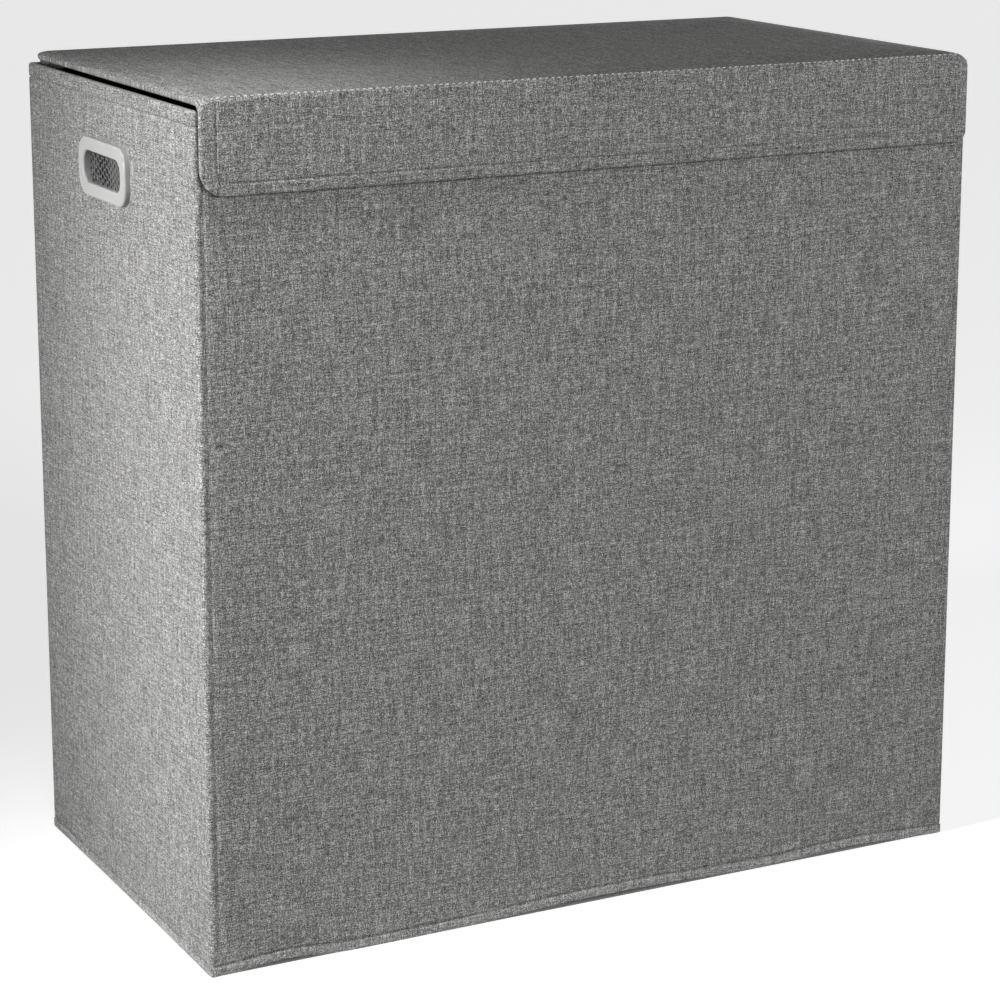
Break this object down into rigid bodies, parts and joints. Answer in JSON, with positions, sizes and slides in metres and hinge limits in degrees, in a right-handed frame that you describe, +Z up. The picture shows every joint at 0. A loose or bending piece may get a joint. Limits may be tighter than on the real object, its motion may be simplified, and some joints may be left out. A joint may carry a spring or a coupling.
{
  "type": "laundry hamper",
  "caption": "Rectangular cloth-covered laundry hamper with a hinged lid, a hanging front flap, side hand holes and mesh bags inside.",
  "frame": {"origin": "on the floor, under the middle of the box", "axes": "+X to the right along the front, +Y to the back, +Z up; the lid's flap hangs at the front, -Y"},
  "size_m": [0.63, 0.346, 0.6195],
  "materials": {
    "linen_cloth": "matte",
    "wall_board": "matte",
    "lining_cloth": "matte",
    "handle_plastic": "satin",
    "steel_disc": "satin",
    "pad_wadding": "matte",
    "black_mesh": "matte",
    "collar_cloth": "matte",
    "spring_wire": "satin",
    "black_webbing": "matte",
    "hook_and_loop": "matte"
  },
  "bodies": {
    "box": {"front_cover": "linen_cloth", "back_cover": "linen_cloth", "left_cover": "linen_cloth", "right_cover": "linen_cloth", "front_hem": "linen_cloth", "back_hem": "linen_cloth", "left_hem": "linen_cloth", "right_hem": "linen_cloth", "hinge_tape": "linen_cloth", "front_board": "wall_board", "back_board": "wall_board", "left_board": "wall_board", "right_board": "wall_board", "front_lining": "lining_cloth", "back_lining": "lining_cloth", "left_lining": "lining_cloth", "right_lining": "lining_cloth", "floor_cloth": "lining_cloth", "left_handle": "handle_plastic", "right_handle": "handle_plastic", "left_handle_ring": "handle_plastic", "right_handle_ring": "handle_plastic", "left_keeper": "steel_disc", "right_keeper": "steel_disc", "left_bag": "black_mesh", "right_bag": "black_mesh", "left_collar": "collar_cloth", "right_collar": "collar_cloth", "left_wire": "spring_wire", "right_wire": "spring_wire", "left_front_strap": "black_webbing", "left_back_strap": "black_webbing", "right_front_strap": "black_webbing", "right_back_strap": "black_webbing", "left_front_hook_tape": "hook_and_loop", "left_front_loop_tape": "hook_and_loop", "left_back_hook_tape": "hook_and_loop", "left_back_loop_tape": "hook_and_loop", "right_front_hook_tape": "hook_and_loop", "right_front_loop_tape": "hook_and_loop", "right_back_hook_tape": "hook_and_loop", "right_back_loop_tape": "hook_and_loop", "base_tape": "lining_cloth"},
    "lid": {"lid_cover": "linen_cloth", "lid_lining": "lining_cloth", "lid_hinge_strip": "linen_cloth", "lid_board": "wall_board", "lid_pad": "pad_wadding"},
    "flap": {"flap_cover": "linen_cloth", "flap_board": "wall_board", "flap_lining": "lining_cloth", "left_magnet": "steel_disc", "right_magnet": "steel_disc"},
    "base": {"base_cover": "lining_cloth", "base_board": "wall_board", "base_pull": "black_webbing"}
  },
  "joints": [
    {"name": "lid_hinge", "type": "hinge", "parent": "box", "child": "lid", "pos_m": [0, 0.1703, 0.6115], "axis": [-1, 0, 0], "range_deg": [0, 235]},
    {"name": "flap_crease", "type": "hinge", "parent": "lid", "child": "flap", "pos_m": [0, -0.1725, 0.6175], "axis": [-1, 0, 0], "range_deg": [0, 180]},
    {"name": "base_fold", "type": "hinge", "parent": "box", "child": "base", "pos_m": [0, 0.1634, 0.006], "axis": [-1, 0, 0], "range_deg": [0, 88], "deforming": ["left_bag", "right_bag"]}
  ]
}
